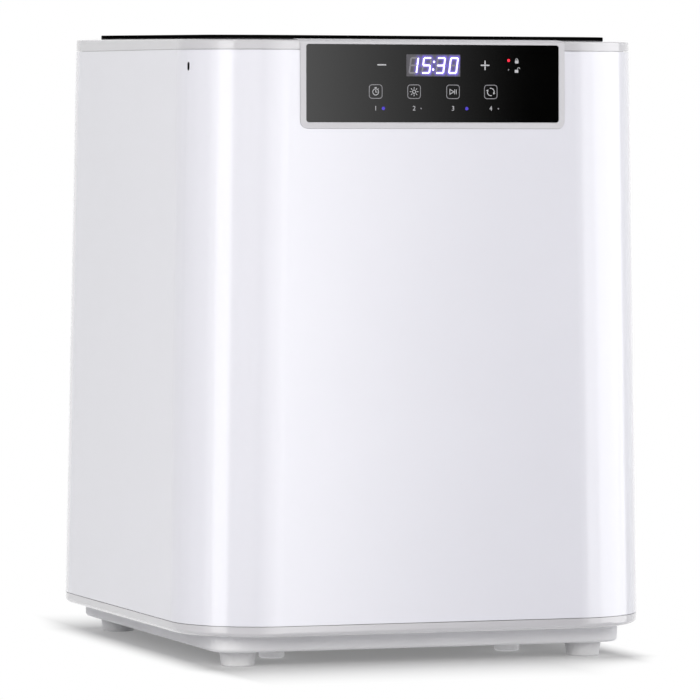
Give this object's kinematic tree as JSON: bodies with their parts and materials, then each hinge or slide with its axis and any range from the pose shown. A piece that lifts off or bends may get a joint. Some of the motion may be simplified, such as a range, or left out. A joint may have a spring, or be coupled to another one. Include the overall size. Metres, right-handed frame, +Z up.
{
  "type": "dental lab light curing unit",
  "caption": "Bench-top light curing unit: tall white drafted casing with rounded corners, grey rim, dark glass lid hinged at the rear, front touch panel and turntable inside.",
  "frame": {"origin": "on the bench plane, midway between the four feet, under the middle of the casing", "axes": "+X to the right seen from the front, +Y to the rear, +Z up"},
  "size_m": [0.3172, 0.3414, 0.4046],
  "materials": {
    "gloss_white": "moulded, high gloss white",
    "satin_grey": "moulded, satin light grey",
    "plinth_grey": "moulded, fine satin",
    "foot_grey": "firm pale rubber",
    "panel_glass": "printed black behind, polished",
    "lid_glass": "dark tinted, polished",
    "black_plastic": "moulded, fine matt",
    "white_plastic": "moulded nylon",
    "circuit_board": "green solder resist",
    "polished_steel": "polished stainless sheet",
    "zinc_steel": "zinc plated",
    "aluminium": "extruded, clear anodised",
    "clear_acrylic": "clear, polished",
    "emitter": "phosphor-yellow lens",
    "seal_rubber": "soft silicone",
    "brass_contact": "plated contact"
  },
  "bodies": {
    "root": {"base_tray": "plinth_grey", "bottom_band": "satin_grey", "feet": "foot_grey", "foot_screws": "zinc_steel", "inner_feet": "foot_grey", "outer_shell": "gloss_white", "top_rim": "satin_grey", "control_bezel": "satin_grey", "control_glass": "panel_glass", "display_module": "black_plastic", "control_board": "circuit_board", "board_carrier": "black_plastic", "board_screws": "zinc_steel", "touch_springs": "zinc_steel", "panel_lamps": "clear_acrylic", "chamber_walls": "polished_steel", "chamber_floor": "polished_steel", "chassis_plate": "zinc_steel", "chassis_posts": "zinc_steel", "light_windows": "clear_acrylic", "light_channels": "aluminium", "light_boards": "circuit_board", "light_emitters": "emitter", "motor_body": "zinc_steel", "motor_screws": "zinc_steel", "floor_bush": "white_plastic", "lid_gasket": "seal_rubber", "lid_sensor": "black_plastic", "hinge_brackets": "zinc_steel", "hinge_pins": "zinc_steel", "hinge_screws": "zinc_steel", "lock_coil": "black_plastic", "lock_frame": "zinc_steel", "fan_frame": "black_plastic", "fan_screws": "zinc_steel", "power_inlet": "black_plastic", "inlet_pins": "brass_contact", "inlet_screws": "zinc_steel", "switch_housing": "black_plastic", "power_supply": "aluminium", "main_board": "circuit_board", "main_board_screws": "zinc_steel", "board_parts": "black_plastic", "board_standoffs": "zinc_steel"},
    "lid": {"lid_glass": "lid_glass", "lid_frame": "black_plastic", "lid_magnet": "zinc_steel", "lid_striker": "zinc_steel", "hinge_leaves": "zinc_steel"},
    "turntable": {"drive_shaft": "zinc_steel", "turntable_hub": "black_plastic"},
    "tray": {"turntable_tray": "clear_acrylic"},
    "fan": {"fan_rotor": "black_plastic"},
    "rocker": {"switch_rocker": "black_plastic"},
    "lock": {"lock_bolt": "zinc_steel"}
  },
  "joints": [
    {"name": "lid_hinge", "type": "hinge", "parent": "root", "child": "lid", "pos_m": [0, 0.151, 0.40108], "axis": [-1, 0, 0], "range_deg": [0, 95]},
    {"name": "turntable_spin", "type": "hinge", "parent": "root", "child": "turntable", "pos_m": [0, -0.004, 0.09], "axis": [0, 0, 1], "continuous": true},
    {"name": "tray_lift", "type": "slide", "parent": "turntable", "child": "tray", "axis": [0, 0, 1], "range_m": [0, 0.03]},
    {"name": "fan_spin", "type": "hinge", "parent": "root", "child": "fan", "pos_m": [0, 0.15392, 0.15], "axis": [0, 0.9999, 0.0145], "continuous": true},
    {"name": "rocker_press", "type": "hinge", "parent": "root", "child": "rocker", "pos_m": [-0.026, 0.16832, 0.054], "axis": [0, 0.0145, -0.9999], "range_deg": [0, 16]},
    {"name": "lock_slide", "type": "slide", "parent": "root", "child": "lock", "axis": [0, -1, 0], "range_m": [0, 0.008]}
  ]
}
